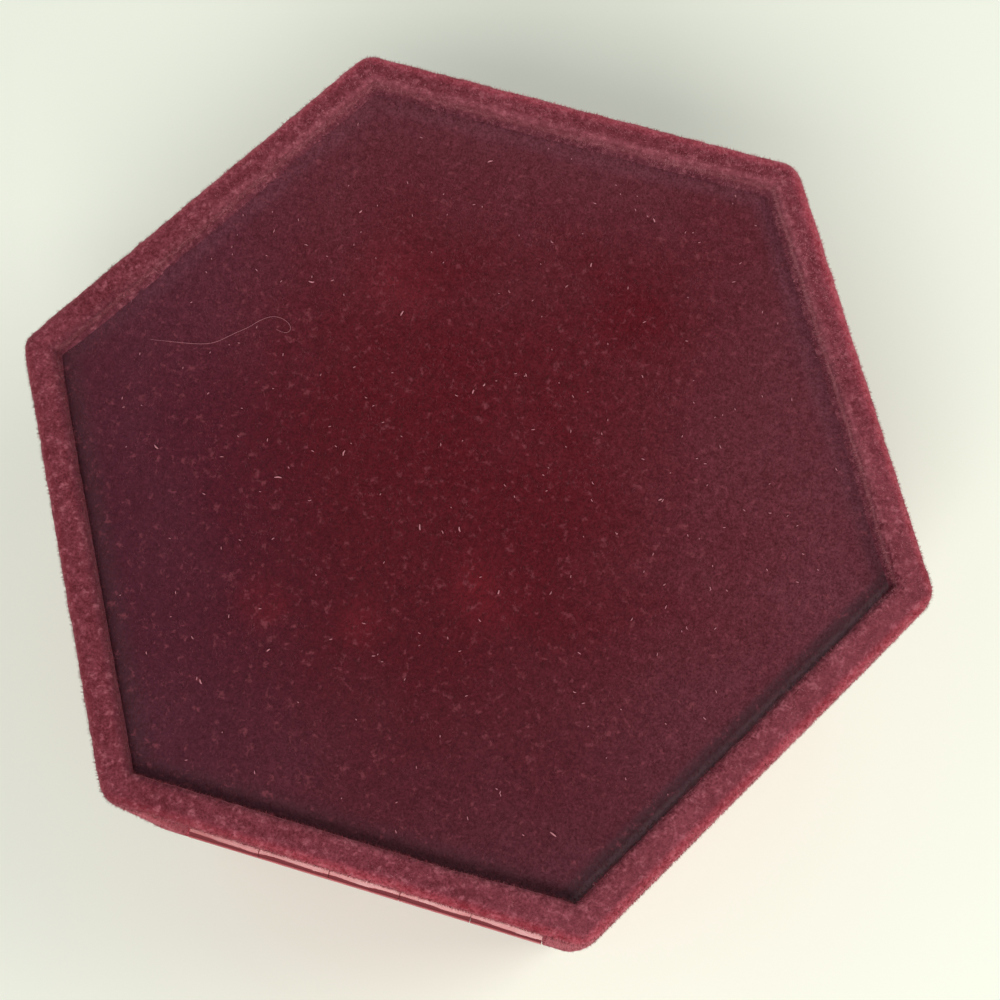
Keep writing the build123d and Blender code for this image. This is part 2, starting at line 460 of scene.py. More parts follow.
def panel_velvet():
    """Velvet of the recessed top: clear dark red in the middle, and duller towards the rim, where dust and
    painted sheen make it greyer and pinker. Painted light lifts its front edge; painted shade darkens it
    towards +Y and +X, along its back edge, and in a band beside the rim at the back left.
    """
    finish, tone = pile_finish("panel_velvet", 0.22)
    x, y, reach = finish.x, finish.y, finish.reach()

    def spot(x_mm, y_mm, radius_mm):
        return finish.near((x_mm * MM, y_mm * MM, panel_high.z), radius_mm * MM)

    cloud = finish.noise(15 * MM, 3.0, 0.55, distortion=0.5)
    light_tufts = finish.spread(finish.noise(0.8 * MM, 3.0, 0.6, distortion=0.3), 0.56, 0.74)
    rim_side = finish.spread(reach, 14 * MM, 40 * MM)
    edge = finish.spread(reach, 38.2 * MM, 41 * MM)
    sheen_side = finish.spread(x, -42 * MM, 4 * MM, 1, 0)
    front_right_corner = finish.spread(0.6 * x - y, 4 * MM, 52 * MM)
    shade_side = finish.spread(0.3 * x + y, -12 * MM, 42 * MM)
    purple_shade_side = finish.spread(x + 0.3 * y, 10 * MM, 42 * MM)
    far_half = finish.spread(y, -16 * MM, 6 * MM, 1, 0)
    by_hinge = finish.spread(y, 20 * MM, 42 * MM)
    back_left = 0.5 * y - 0.87 * x
    # dust and painted sheen by position, with random clouds; at the front edge it is painted light
    dust_and_sheen = (
        rim_side * 0.4 + sheen_side * 0.35 + front_right_corner * 0.2 + edge * far_half * 0.8 + (cloud - 0.5) * 0.7
        + by_hinge * 0.25 - shade_side * 0.2 - (spot(-20, -32, 24) + spot(9, 8, 18)) * 0.3
    ).clamp()

    clear = finish.mix(tone, rgb(69, 8, 17), rgb(94, 18, 29))
    light_and_dust = finish.mix(tone, rgb(85, 36, 46), rgb(113, 58, 71))
    # painted shade: darker and purpler towards +Y
    colour = finish.mix(shade_side * 0.36, finish.mix(dust_and_sheen, clear, light_and_dust), rgb(56, 26, 38))
    # painted shade: purple-grey towards +X
    colour = finish.mix(purple_shade_side * 0.3, colour, rgb(60, 32, 54))
    # painted shade tone: grey-mauve along the panel's back edge, in the rim's shadow
    colour = finish.mix(edge * (1 - far_half) * 0.5, colour, rgb(66, 42, 50))
    # painted shadow: a dark band beside the rim at the back left, then a painted lighter line at the wall's
    # foot
    colour = finish.mix(finish.spread(back_left, 38.9 * MM, 39.9 * MM) * 0.6, colour, rgb(60, 40, 47))
    colour = finish.mix(finish.spread(back_left, 40.2 * MM, 41.0 * MM) * 0.65, colour, rgb(132, 98, 106))
    for place in BRUSHED_UP:
        share = spot(*place) * finish.spread(cloud, 0.3, 0.7, 0.05, 0.3)
        colour = finish.mix(share, colour, rgb(138, 34, 42))
    finish.paint("Base Color", finish.mix(light_tufts * 0.5, colour, rgb(136, 66, 77)))
    return finish.material


def lining_velvet():
    """Velvet of the lining and the tray cushion: shorter and more even."""
    finish, tone = pile_finish("lining_velvet", 0.4)
    brushed = finish.noise(12 * MM, distortion=0.4)
    tone = (tone * 0.7 + (brushed - 0.35) * 0.6).clamp()
    finish.paint("Base Color", finish.mix(tone, rgb(96, 20, 32), rgb(148, 50, 64)))
    return finish.material


def core_plastic():
    """Matt moulded core, faintly clouded."""
    finish = Finish("core_plastic", Specular_IOR_Level=0.4)
    grain = finish.noise(0.25 * MM, 3.0, 0.6)
    finish.paint("Base Color", finish.mix(finish.noise(6 * MM), rgb(70, 62, 60), rgb(92, 84, 80)))
    finish.grained(grain, 0.55, 0.75, 0.05 * MM)
    return finish.material


def grey_card():
    """Grey-brown board with short paper fibres, and with the pad's dark cloth turned over its edge."""
    finish = Finish("grey_card", Specular_IOR_Level=0.2)
    paper = finish.noise(0.5 * MM, 4.0, 0.7, distortion=1.5)
    board = finish.mix(finish.spread(paper, 0.35, 0.65), rgb(150, 132, 108), rgb(190, 174, 148))
    turned_cloth = finish.mix(paper, rgb(70, 14, 24), rgb(112, 32, 44))
    at_edge = finish.spread(finish.reach(), 36.8 * MM, 37.0 * MM)
    finish.paint("Base Color", finish.mix(at_edge, board, turned_cloth))
    finish.grained(paper, 0.95, 0.8, 0.06 * MM)
    return finish.material


def underside_felt():
    """Thin dark red felt paper, matted in short strands."""
    finish = Finish("underside_felt", Sheen_Weight=0.1, Sheen_Roughness=0.6, Specular_IOR_Level=0.1)
    matted = finish.noise(0.6 * MM, 4.0, 0.7, distortion=2.0)
    tone = finish.spread(matted, 0.35, 0.68) * 0.7 + finish.noise(7 * MM) * 0.3
    finish.paint("Base Color", finish.mix(tone, rgb(78, 22, 32), rgb(122, 44, 54)))
    finish.grained(matted, 0.98, 0.85, 0.2 * MM)
    return finish.material


def enamel():
    """Gloss red enamel on the rolled hinge, with painted shade down in the roll's seam, where it is also
    rougher and has no coat.
    """
    finish = Finish(
        "hinge_enamel", Specular_IOR_Level=0.45, Specular_Tint=rgb(255, 214, 214), Coat_Roughness=0.17
    )
    strokes = finish.noise(0.4 * MM, 3.0, 0.6, where=finish.drawn_out(0.12))
    dents = finish.noise(3.0 * MM)
    red = finish.mix(finish.spread(strokes, 0.3, 0.7), rgb(150, 52, 58), rgb(176, 78, 82))
    across, up = finish.y - AXIS_Y, finish.z - PARTING
    from_pin = across * across + up * up
    # painted shade: darker, rougher enamel without coat down in the seam, near the pin
    deep = finish.spread(from_pin, (1.12 * MM) ** 2, (1.19 * MM) ** 2, 1, 0)
    finish.paint("Base Color", finish.mix(deep, red, rgb(104, 30, 40)))
    finish.paint("Roughness", finish.spread(strokes, 0.3, 0.7, 0.22, 0.34) + deep * 0.4)
    finish.paint("Coat Weight", (finish.spread(dents, 0.3, 0.7, 0.25, 0.45) - deep).clamp())
    finish.paint("Normal", finish.bump(0.4 * strokes + 0.6 * dents, 0.02 * MM))
    return finish.material


def steel():
    """Drawn steel wire, with fine lines along it."""
    finish = Finish("pin_steel", Metallic=1.0)
    lines = finish.noise(0.12 * MM, 3.0, 0.6, where=finish.drawn_out(0.05))
    finish.paint("Base Color", finish.mix(lines, rgb(176, 172, 168), rgb(206, 203, 198)))
    finish.grained(lines, 0.24, 0.42, 0.02 * MM)
    return finish.material


def satin():
    """Satin over foam: long floats of thread with a soft shine."""
    finish = Finish("pad_satin", Sheen_Weight=0.25, Sheen_Roughness=0.25, Specular_IOR_Level=0.6)
    floats = finish.noise(0.14 * MM, 3.0, 0.6, where=finish.drawn_out(0.08))
    tone = finish.spread(floats, 0.3, 0.7) * 0.6 + finish.noise(9 * MM) * 0.4
    finish.paint("Base Color", finish.mix(tone, rgb(128, 34, 48), rgb(170, 62, 76)))
    finish.grained(floats, 0.3, 0.44, 0.025 * MM)
    return finish.material


def fibre_tone(name, colour, sheen=0.3):
    """Plain tone of single pile fibres."""
    return Finish(
        name, Base_Color=colour, Roughness=0.75, Specular_IOR_Level=0.3, Sheen_Weight=sheen,
        Sheen_Tint=rgb(228, 150, 162),
    ).material


cover_pile = cover_velvet()
panel_pile = panel_velvet()
lining_pile = lining_velvet()
felt = underside_felt()
pad_satin = satin()
hinge_enamel = enamel()
pin_steel = steel()
card = grey_card()
plastic = core_plastic()
lint_tones = [
    fibre_tone("bright_lint", rgb(190, 122, 132), 0.0),
    fibre_tone("faint_lint", rgb(140, 78, 88), 0.0),
]
# Rim and wall fibres: lighter, rosier copies of the panel's fibre tones, a painted sheen
rim_tones = [
    fibre_tone("rim_fibre_deep", rgb(104, 33, 43)),
    fibre_tone("rim_fibre_red", rgb(142, 56, 68)),
    fibre_tone("rim_fibre_rose", rgb(184, 112, 122)),
]
panel_tones = [
    fibre_tone("panel_fibre_deep", rgb(66, 10, 19), 0.12),
    fibre_tone("panel_fibre_red", rgb(84, 17, 28), 0.12),
    fibre_tone("panel_fibre_rose", rgb(112, 50, 62), 0.15),
]


# Cover of the lid and of the base
def stations(spacing):
    """Round the box: points on the inner hexagon, and the outward direction at each."""
    half = HEART_REACH * math.tan(SIXTH / 2)
    plain = np.linspace(-half, half, round(2 * half / spacing) + 1)
    ear_steps = SLOT_HALF + EAR_BLEND * np.linspace(-1, 1, 11)
    cut = np.concatenate([plain[np.abs(plain) < ear_steps[0]], ear_steps, -ear_steps, [-half, half]])
    cut = np.unique(cut)
    corner_steps = round((CORNER + FLARE) * SIXTH / spacing)
    anchors, outwards = [], []
    for side in range(SIDES):
        turn = (side + 0.5) * SIXTH
        out, sideways = way_out(turn)
        for along in cut if side == BACK else plain:
            anchors.append(out * HEART_REACH + sideways * along)
            outwards.append(out)
        for step in range(1, corner_steps):
            anchors.append(out * HEART_REACH + sideways * half)
            outwards.append(way_out(turn + SIXTH * step / corner_steps)[0])
    return np.array(anchors), np.array(outwards)


def wall_reach(height, limit):
    """How far the wall stands outside the inner hexagon."""
    return np.minimum(PARTING_REACH - np.abs(height - PARTING) * TAPER - HEART_REACH, limit)


def wall(start, end, inset, limit, count):
    """Straight run of the profile up or down a wall."""
    heights = start + (end - start) * np.arange(count) / count
    return np.stack([wall_reach(heights, limit) - inset, heights], axis=1)


def runs(stops, counts):
    """Straight runs of the profile from each stop to the next."""
    return [line(*run) for run in zip(stops, stops[1:], counts)]


def lid_profile(edge, limit, lip):
    """Section of the lid's cover: from its lower edge over the rim into the recess, and back inside."""
    lip_reach = wall_reach(edge + LIP_ROUND, limit)
    rim = RIM_REACH - HEART_REACH
    recess = rim - RIM_LAND
    outside = [
        line((lip, edge), (lip_reach - LIP_ROUND, edge), 7),
        arc((lip_reach - LIP_ROUND, edge + LIP_ROUND), LIP_ROUND, -90, 0, 4),
        wall(edge + LIP_ROUND, RIM_TOP - RIM_ROUND, 0, limit, 62),
        arc((rim - RIM_ROUND, RIM_TOP - RIM_ROUND), RIM_ROUND, 0, 90, 7),
        line((rim - RIM_ROUND, RIM_TOP), (recess + INNER_ROUND, RIM_TOP), 4),
        arc((recess + INNER_ROUND, RIM_TOP - INNER_ROUND), INNER_ROUND, 90, 180, 5),
        line((recess, RIM_TOP - INNER_ROUND), (recess, panel_high.z + FOOT_FILLET), 3),
        arc((recess - FOOT_FILLET, panel_high.z + FOOT_FILLET), FOOT_FILLET, 0, -90, 5),
        line((recess - FOOT_FILLET, panel_high.z), (recess - FOOT_FILLET, panel_high.z - TUCK), 1),
    ]
    under_rim = [
        (recess - FOOT_FILLET, panel_high.z - TUCK), (recess, panel_low.z), (recess + CLOTH, panel_low.z),
        (recess + CLOTH, RIM_TOP - CLOTH), (rim - RIM_ROUND, RIM_TOP - CLOTH),
    ]
    hem = [(wall_reach(edge + CLOTH, limit) - CLOTH, edge + CLOTH), (lip, edge + CLOTH), (lip, edge)]
    inside = [
        *runs(under_rim, (1, 1, 2, 1)),
        arc((rim - RIM_ROUND, RIM_TOP - RIM_ROUND), RIM_ROUND - CLOTH, 90, 0, 2),
        wall(RIM_TOP - RIM_ROUND, edge + CLOTH, CLOTH, limit, 6),
        *runs(hem, (2, 1)),
    ]
    return outside, inside


def base_profile(edge, limit, lip):
    """Section of the base's cover: from its upper edge down and under the foot, and back inside."""
    lip_reach = wall_reach(edge - LIP_ROUND, limit)
    foot = base_low.z
    bend = wall_reach(foot + FOOT_ROUND, limit) - FOOT_ROUND
    under = bend + FOOT_ROUND - HEM_SHOWN
    outside = [
        line((lip, edge), (lip_reach - LIP_ROUND, edge), 7),
        arc((lip_reach - LIP_ROUND, edge - LIP_ROUND), LIP_ROUND, 90, 0, 4),
        wall(edge - LIP_ROUND, foot + FOOT_ROUND, 0, limit, 58),
        arc((bend, foot + FOOT_ROUND), FOOT_ROUND, 0, -90, 8),
        line((bend, foot), (under, foot), 4),
    ]
    hem = [(wall_reach(edge - CLOTH, limit) - CLOTH, edge - CLOTH), (lip, edge - CLOTH), (lip, edge)]
    inside = [
        *runs([(under, foot), (under, foot + CLOTH), (bend, foot + CLOTH)], (1, 1)),
        arc((bend, foot + FOOT_ROUND), FOOT_ROUND - CLOTH, -90, 0, 2),
        wall(foot + FOOT_ROUND, edge - CLOTH, CLOTH, limit, 6),
        *runs(hem, (2, 1)),
    ]
    return outside, inside


def cover_points(profile, edge, seat):
    """Rings of the cover, with the hinge's slot and the bevelled ears at the back.

    In the lid's recess, the fillet at the panel is left out by the hinge, and the rim is wider at the
    back left."""
    lip = CAVITY_REACH - HEART_REACH
    seat_lip = SEAT_REACH - HEART_REACH
    slot_limit = RIM_REACH - SLOT_SETBACK - HEART_REACH
    outside, inside = profile(edge, 1.0, lip)
    slot_outside, slot_inside = profile(seat, slot_limit, seat_lip)
    plain = np.concatenate(outside + inside)
    slot = np.concatenate(slot_outside + slot_inside)
    shown = sum(len(run) for run in outside)
    anchors, outwards = stations(GRID)
    at_back = anchors[:, 1] > HEART_REACH - 1e-6
    share = smooth((SLOT_HALF - np.abs(anchors[:, 0])) / EAR_BLEND + 0.5) * at_back
    reach = plain[:, :1] * (1 - share) + slot[:, :1] * share
    height = plain[:, 1:] * (1 - share) + slot[:, 1:] * share
    if profile is lid_profile:
        recess = RIM_REACH - RIM_LAND - HEART_REACH
        by_hinge = smooth(anchors[:, 1] / (16 * MM) + 0.5)
        reach = np.where(reach < recess, recess * by_hinge + reach * (1 - by_hinge), reach)
        wide_rim = smooth((0.5 * anchors[:, 1] - 0.87 * anchors[:, 0]) / (10 * MM) - 3)
        reach = reach - WIDER_RIM * wide_rim * (height > RIM_TOP - 4 * MM) * (reach < recess + 1.5 * MM)
    shrink = 1 + np.minimum(reach - INNER_CORNER, 0) / HEART_REACH
    outer = np.maximum(reach, INNER_CORNER)
    rings = np.empty((*reach.shape, 3))
    rings[:, :, :2] = anchors * shrink[:, :, None] + outwards * outer[:, :, None]
    rings[:, :, 2] = height
    depth = np.zeros(len(plain))
    depth[shown:] = CLOTH / math.sin(EAR_BEVEL)
    bevel = EAR_APEX - depth[:, None] + np.abs(height - PARTING) / math.tan(EAR_BEVEL)
    rings[:, :, 1] = np.minimum(rings[:, :, 1], bevel)
    weight = np.zeros(len(plain))
    weight[:shown] = 1
    return rings.reshape(-1, 3), torus_faces(*rings.shape[:2]), np.repeat(weight, len(anchors))


def cover(name, body, node, profile, edge, seat, flip, seed):
    """One half's velvet, drawn over its core: its points and faces."""
    points, faces, weight = cover_points(profile, edge, seat)
    if flip:
        faces = faces[:, ::-1]
    points = ruffle(points, faces, weight, seed)
    fit(mesh_object(name, points, faces, [cover_pile]), body, "velvet", node)
    return points, faces


lid_points, lid_faces = cover(
    "lid_cover", "lid", "lid_velvet", lid_profile, lid_low.z, PARTING + SEAT_HALF_HEIGHT, False, 11
)
base_points, base_faces = cover(
    "base_cover", "base", "base_velvet", base_profile, base_high.z, PARTING - SEAT_HALF_HEIGHT, True, 23
)


# Flat six-sided pieces
def hexagon(reach, corner, per_side):
    """Points of a six-sided outline with rounded corners, evenly spaced from the +X corner."""
    inner = reach - corner
    straight = 2 * inner * math.tan(SIXTH / 2)
    whole = straight + corner * SIXTH
    places = []
    for side in range(SIDES):
        turn = (side + 0.5) * SIXTH
        out, sideways = way_out(turn)
        for step in range(per_side):
            along = whole * (step / per_side - 0.5)
            past = max(abs(along) - straight / 2, 0.0)
            bend = way_out(turn + math.copysign(past / corner if corner else 0.0, along))[0]
            held = max(-straight / 2, min(straight / 2, along))
            places.append(out * inner + sideways * held + corner * bend)
    return np.array(places)


def hex_sheet(reach, corner, rings):
    """Six-sided sheet of even triangles: its points, its faces, and where its edge starts among them."""
    points = [np.zeros((1, 2))]
    faces = []
    inner_start, inner_count = 0, 1
    for ring in range(1, rings + 1):
        share = ring / rings
        points.append(hexagon(reach * share, corner * share**4, ring))
        outer_start, outer_count = inner_start + inner_count, SIDES * ring
        for side in range(SIDES):
            for step in range(ring):
                outer = side * ring + step
                inner = inner_start + (side * (ring - 1) + step) % inner_count
                here, beside = outer_start + outer, outer_start + (outer + 1) % outer_count
                faces.append((here, beside, inner))
                if step < ring - 1:
                    faces.append((beside, inner_start + (side * (ring - 1) + step + 1) % inner_count, inner))
        inner_start, inner_count = outer_start, outer_count
    return np.concatenate(points), faces, inner_start


def slab(reach, corner, rings, drops, height_at, meshed_back=False):
    """Six-sided slab: a shaped face, sides through the drops beside it, and a flat back.

    Each drop is how far the side stands out there, and its height."""
    sheet, faces, start = hex_sheet(reach, corner, rings)
    points = [np.column_stack([sheet, height_at(sheet)])]
    count = SIDES * rings
    following = len(sheet)
    for grow, height in drops:
        loop = hexagon(reach + grow, max(corner + grow, 0), rings)
        points.append(np.column_stack([loop, np.full(count, height)]))
        for step in range(count):
            beside = (step + 1) % count
            faces.append((start + beside, start + step, following + step, following + beside))
        start = following
        following += count
    if meshed_back:
        back, back_faces, edge = hex_sheet(reach + grow, max(corner + grow, 0), rings)
        points.append(np.column_stack([back[:edge], np.full(edge, height)]))
        place = np.concatenate([following + np.arange(edge), start + np.arange(count)])
        faces += [tuple(int(place[index]) for index in reversed(face)) for face in back_faces]
    else:
        faces.append(tuple(reversed(range(start, start + count))))
    return np.concatenate(points), faces


def turned_over(points, faces, low, high):
    """A form upside down between two heights, still with its faces outwards."""
    points = points.copy()
    points[:, 2] = low + high - points[:, 2]
    return points, [tuple(reversed(face)) for face in faces]


# Top panel, drawn over its board
PANEL_REACH = -panel_low.y + 0.2 * MM


def panel_height(places):
    """Height of the top panel: flat, with soft edges and a slow wave."""
    flat = np.column_stack([places, np.zeros(len(places))])
    inside = PANEL_REACH - reach_of(places)
    wave = 0.05 * MM * ripple(flat, 14 * MM, 5)
    wave += 0.02 * MM * ripple(flat, TUFT, 6) + 0.02 * MM * ripple(flat, GRAIN, 7)
    return panel_high.z - 0.04 * MM - soft_edge(inside, 0.3 * MM) + wave * smooth(inside / MM)


panel_drops = [(0.0, panel_high.z - 0.7 * MM), (0.0, panel_low.z)]
points, faces = slab(PANEL_REACH, 0.8 * MM, 130, panel_drops, panel_height)
fit(mesh_object("top_panel", points, faces, [panel_pile]), "lid", "velvet", "lid_top_velvet")


# Felt-covered card under the base
felt_low, felt_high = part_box("base_underside_card")


def felt_height(places):
    """Height of the felt before it is turned over: flat, with a soft edge and matted strands."""
    flat = np.column_stack([places, np.zeros(len(places))])
    inside = -felt_low.y - reach_of(places)
    matting = 0.03 * MM * (ripple(flat, 1.2 * MM, 31) - 1) + 0.015 * MM * (ripple(flat, 0.5 * MM, 32) - 1)
    return felt_high.z - soft_edge(inside, 0.35 * MM) + matting


felt_drops = [(0.0, felt_high.z - 0.6 * MM), (0.0, felt_low.z)]
points, faces = turned_over(*slab(-felt_low.y, 4 * MM, 90, felt_drops, felt_height), felt_low.z, felt_high.z)
fit(mesh_object("underside_pad", points, faces, [felt]), "base", "underside_felt", "base_underside_card")


# Lining: twelve velvet-covered cards, mitred where they meet
def edge_spaced(length, step, radius):
    """Places along a length, closer together within the radius of each end."""
    near_edge = radius * (1 - np.cos(np.linspace(0, math.pi / 2, 6)))
    middle = np.linspace(radius, length - radius, max(round((length - 2 * radius) / step), 2) + 1)
    return np.concatenate([near_edge[:-1], middle, length - near_edge[:-1][::-1]])


def lining_card(name, body, number, seed):
    """One card of the lining: a slightly puffed face with soft edges, and mitred ends."""
    low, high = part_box(name)
    back_half = CAVITY_REACH * math.tan(SIXTH / 2) - 0.04 * MM
    front_half = LINING_REACH * math.tan(SIXTH / 2) - 0.04 * MM
    out, sideways = way_out(math.pi / 2 + number * SIXTH)
    radius = 0.3 * MM

    def placed(depth, along, height):
        x, y = (out[axis] * depth + sideways[axis] * along for axis in (0, 1))
        return np.column_stack([x, y, height])

    across = edge_spaced(2 * front_half, 0.7 * MM, radius) - front_half
    upward = edge_spaced(high.z - low.z, 0.7 * MM, radius) + low.z
    along, height = (grid.ravel() for grid in np.meshgrid(across, upward))
    from_end = np.minimum(height - low.z, high.z - height)
    inside = np.minimum(front_half - np.abs(along), from_end)
    puff = 0.12 * MM * smooth(inside / (7 * MM))
    flat = np.column_stack([along, height, np.full(len(along), float(seed))])
    pile = 0.04 * MM * (ripple(flat, TUFT, seed) + 0.6 * ripple(flat, GRAIN, seed + 1))
    pile *= smooth(inside / (0.4 * MM))
    depth = LINING_REACH + 0.18 * MM - puff + soft_edge(inside, radius) - pile
    grid = np.arange(len(along)).reshape(len(upward), len(across))
    loop = np.concatenate([grid[0, :-1], grid[:-1, -1], grid[-1, :0:-1], grid[:0:-1, 0]])
    face = placed(depth, along, height)
    back = placed(CAVITY_REACH, along[loop] * (back_half / front_half), height[loop])
    quads = np.stack([grid[:-1, :-1], grid[:-1, 1:], grid[1:, 1:], grid[1:, :-1]], axis=-1)
    faces = quads.reshape(-1, 4).tolist()
    start, count = len(along), len(loop)
    for step in range(count):
        after = (step + 1) % count
        faces.append([int(loop[after]), int(loop[step]), start + step, start + after])
    faces.append(list(range(start + count - 1, start - 1, -1)))
    points = np.concatenate([face, back])
    piece = mesh_object(name.replace("lining", "wall_card"), points, faces, [lining_pile])
    return fit(piece, body, "lining_velvet", name)


for number, side in enumerate(("back", "back_left", "front_left", "front", "front_right", "back_right")):
    lining_card("base_lining_" + side, "base", number, 40 + 2 * number)
    lining_card("lid_lining_" + side, "lid", number, 60 + 2 * number)


# Padding: one cover, filled by cloth simulation, then fitted to the tray and to the lid
PAD_RINGS = 48
PAD_REACH = 40.4 * MM
PAD_SIDE = 4.3 * MM
PAD_EDGE = 1.0 * MM
PAD_LIMIT = LINING_REACH - 0.12 * MM


def empty_pad():
    """The pad before it is filled: its points, its faces, and the first point of each ring."""
    def height_at(places):
        return PAD_SIDE + 0.9 * MM * (1 - (np.linalg.norm(places, axis=1) / (47 * MM)) ** 2)

    top = PAD_SIDE - 0.1 * MM
    drops = []
    for angle in np.radians(18 * np.arange(1, 6)):
        drops.append((PAD_EDGE * math.sin(angle), top - PAD_EDGE * (1 - math.cos(angle))))
    for share in (0.25, 0.5, 0.75, 1.0):
        drops.append((PAD_EDGE, (top - PAD_EDGE) * (1 - share)))
    drops.append((PAD_EDGE - 4 * MM, 0.0))
    points, faces = slab(PAD_REACH, 3 * MM, PAD_RINGS, drops, height_at, meshed_back=True)
    firsts = [0] + [1 + 3 * ring * (ring - 1) for ring in range(1, PAD_RINGS + 1)]
    firsts += [firsts[-1] + SIDES * PAD_RINGS * step for step in range(1, len(drops) + 2)]
    return points, faces, firsts


def filled(points, faces, times_larger=10):
    """The pad's cover, a little too large, blown up by its filling while its hem is held."""
    cover = mesh_object("unfilled_pad", points * times_larger, [tuple(face) for face in faces], [])
    held = cover.vertex_groups.new(name="hem")
    held.add([index for index, point in enumerate(points) if point[2] < 0.3 * MM], 1.0, "REPLACE")
    cloth = cover.modifiers.new("cloth", "CLOTH")
    for setting, value in {
        "quality": 5, "mass": 0.3, "vertex_group_mass": "hem", "tension_stiffness": 15,
        "compression_stiffness": 15, "shear_stiffness": 7.5, "bending_stiffness": 0.1, "tension_damping": 10,
        "air_damping": 5, "use_pressure": True, "uniform_pressure_force": 4, "shrink_min": -0.03,
        "shrink_max": -0.03,
    }.items():
        setattr(cloth.settings, setting, value)
    cloth.settings.effector_weights.gravity = 0
    cloth.collision_settings.use_collision = False
    for number in range(1, 21):
        bpy.context.scene.frame_set(number)
    shape = cover.evaluated_get(bpy.context.evaluated_depsgraph_get()).data
    after = np.empty(len(points) * 3)
    shape.vertices.foreach_get("co", after)
    bpy.data.objects.remove(cover)
    bpy.context.scene.frame_set(1)
    return after.reshape(-1, 3) / times_larger


def settled(points, firsts, crease, top):
    """The filled pad pressed to its height, with its creases kept, and kept clear of the lining."""
    points = points.copy()
    calm = points[:, 2].copy()
    for first, past in zip(firsts[2:], firsts[3:]):
        waves = np.fft.rfft(points[first:past, 2])
        waves[13:] = 0
        calm[first:past] = np.fft.irfft(waves, past - first)
    creases = points[:, 2] - calm
    knee = 3.0 * MM
    press = min(1.0, (top - knee) / max(calm.max() - knee, 1e-9))
    calm = np.where(calm > knee, knee + (calm - knee) * press, calm)
    points[:, 2] = np.clip(calm + creases * crease, 0, top)
    points[:, :2] *= np.minimum(1, PAD_LIMIT / np.maximum(reach_of(points), 1e-9))[:, None]
    return points


def padding():
    """Tray cushion in velvet and lid pad in satin."""
    points, faces, firsts = empty_pad()
    points = filled(points, faces)
    tray_low, tray_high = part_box("base_cushion")
    pad_low, pad_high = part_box("lid_pad")
    tray = settled(points, firsts, 0.45, tray_high.z - tray_low.z) + [0, 0, tray_low.z]
    turn = np.array([[math.cos(2 * SIXTH), -math.sin(2 * SIXTH)], [math.sin(2 * SIXTH), math.cos(2 * SIXTH)]])
    lid = settled(points, firsts, 0.9, pad_high.z - pad_low.z) + [0, 0, pad_low.z]
    lid[:, :2] = lid[:, :2] @ turn
    lid, lid_faces = turned_over(lid, faces, pad_low.z, pad_high.z)
    for name, body, node, form, form_faces, material, slot in (
        ("tray_cushion", "base", "base_cushion", tray, faces, lining_pile, "lining_velvet"),
        ("satin_pad", "lid", "lid_pad", lid, lid_faces, pad_satin, "satin"),
    ):
        piece = mesh_object(name, form, form_faces, [material])
        finer = piece.modifiers.new("finer", "SUBSURF")
        finer.levels = finer.render_levels = 1
        fit(piece, body, slot, node)


padding()


# Hinge: two rolled leaves and their pin
def knuckle(start, end, above):
    """One knuckle: a rolled tube with a planished top, an open seam and a web to its leaf.

    Its angles lie closer together along the seam and at the corners of the web."""
    degrees = np.unique(np.concatenate([
        np.linspace(-180, 180, 145)[:-1], np.arange(28, 50, 1.0), [78, 79, 81, 83],
        [-91.6, -91.2, -88.8, -88.4, -105.6, -105.2, -74.8, -74.4],
    ]))
    turns = np.radians(degrees)
    y_way, z_way = np.sin(turns), np.cos(turns)
    chamfer, inset = 0.03 * MM, 0.1 * MM
    middle = np.linspace(start + inset, end - inset, 15)
    along = np.concatenate([[start, start, start + chamfer], middle, [end - chamfer, end, end]])
    eased = np.zeros(len(along))
    eased[[1, -2]] = 0.01 * MM
    spots = np.column_stack([along, np.zeros((len(along), 2))])
    flat_at = np.radians(PLANISHED_AT + 3 * ripple(spots, 4.5 * MM, 81))
    toward = np.cos(turns - flat_at[:, None])
    flat = np.where(toward > 0.3, PLANISHED_REACH / np.maximum(toward, 0.3), 1)
    reach = np.minimum(BARREL_RADIUS, flat)
    seam_at = SEAM_START + 6 * ripple(spots, 3.5 * MM, 82) + 2 * ripple(spots, MM, 83)
    into_seam = smooth((degrees - seam_at[:, None]) / 3) * (1 - smooth((degrees - SEAM_END) / 4))
    reach = reach * (1 - into_seam) + SEAM_REACH * into_seam - eased[:, None]
    web_end = WEB_LENGTH / np.maximum(-y_way, 1e-6)
    web_side = (LEAF + LEAF_GAP) / np.maximum(z_way * above, 1e-6)
    web = np.minimum(web_end, web_side)
    in_web = (y_way < 0) & (web * z_way * above > LEAF_GAP)
    reach = np.where(in_web, np.maximum(reach, web), reach)
    reach[[0, -1]] = BORE_RADIUS
    rings = np.empty((*reach.shape, 3))
    rings[:, :, 0] = along[:, None]
    rings[:, :, 1] = AXIS_Y + reach * y_way
    rings[:, :, 2] = PARTING + reach * z_way
    return rings.reshape(-1, 3), torus_faces(*reach.shape)


